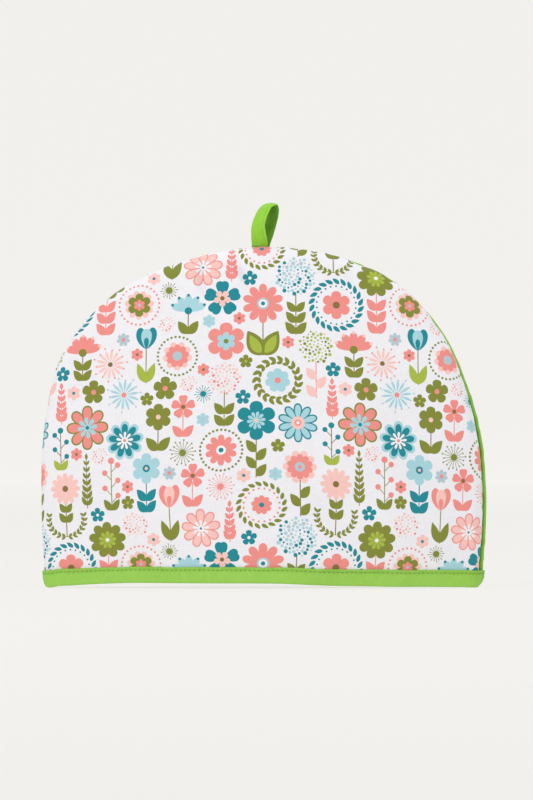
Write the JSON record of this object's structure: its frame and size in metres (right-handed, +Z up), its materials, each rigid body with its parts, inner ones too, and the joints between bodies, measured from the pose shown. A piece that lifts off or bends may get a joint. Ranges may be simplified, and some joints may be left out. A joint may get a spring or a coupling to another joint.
{
  "type": "tea cosy",
  "caption": "Padded dome-shaped tea cosy standing open on its bound hem, with a floral front panel, a plain back panel and a hanging loop on top.",
  "frame": {"origin": "on the surface the hem stands on, in the middle of the cosy's width and depth", "axes": "+Z up, +X to the right of someone facing the printed front, -Y towards them"},
  "size_m": [0.3443, 0.1018, 0.2984],
  "materials": {
    "printed_cotton": "matt plain-weave cotton, white with an all-over flower print",
    "plain_cotton": "matt plain-weave cotton, lime green",
    "binding_cotton": "matt cotton bias binding, lime green"
  },
  "bodies": {
    "root": {"front_panel": "printed_cotton", "back_panel": "plain_cotton", "hem_binding": "binding_cotton", "hanging_loop": "binding_cotton"}
  },
  "joints": []
}
